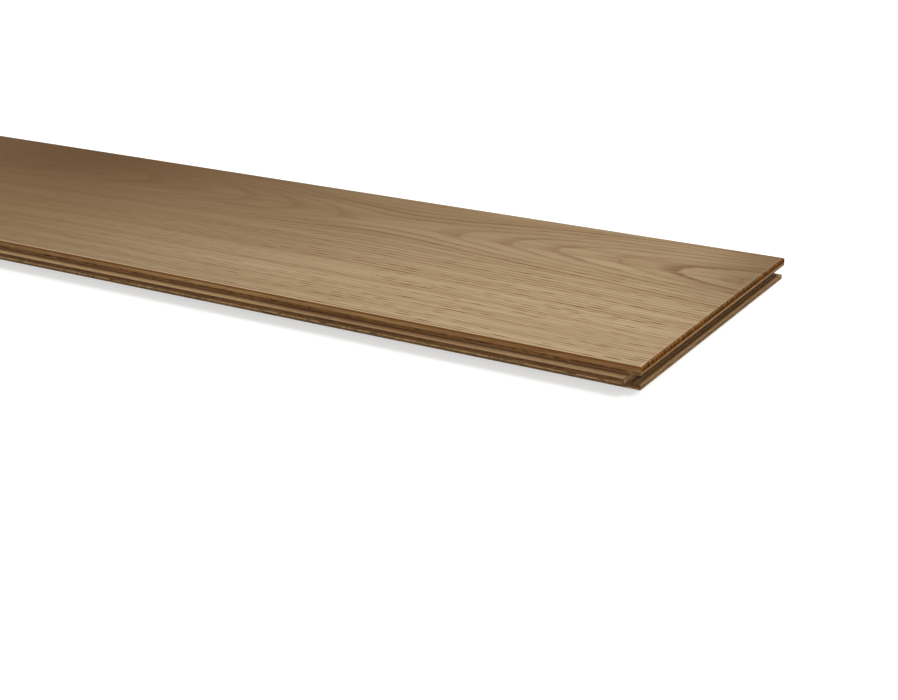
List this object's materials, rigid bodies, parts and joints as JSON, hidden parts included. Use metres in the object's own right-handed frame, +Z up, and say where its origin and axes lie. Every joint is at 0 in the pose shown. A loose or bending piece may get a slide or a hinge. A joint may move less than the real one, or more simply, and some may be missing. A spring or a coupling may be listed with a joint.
{
  "type": "wide plank floorboard",
  "caption": "Wide engineered oak floor plank: bevelled sawn oak face on a core of thin plies, with a milled locking tongue on two sides and the matching groove on the other two.",
  "frame": {"origin": "middle of the underside, which is the bottom centre of the board's box with its tongues", "axes": "+X along the board towards its groove end, +Y across it towards its groove side, +Z up out of the walked-on face"},
  "size_m": [2.207, 0.2482, 0.015],
  "materials": {
    "oiled_oak": "brushed and oiled, satin",
    "cross_ply": "raw veneer with its grain across the board",
    "long_ply": "raw veneer with its grain along the board"
  },
  "bodies": {
    "root": {"oak_wear_layer": "oiled_oak", "core_ply_1": "cross_ply", "core_ply_2": "long_ply", "core_ply_3": "cross_ply", "core_ply_4": "long_ply", "core_ply_5": "cross_ply", "core_ply_6": "long_ply", "core_ply_7": "cross_ply", "core_ply_8": "long_ply", "backing_ply": "cross_ply"}
  },
  "joints": []
}
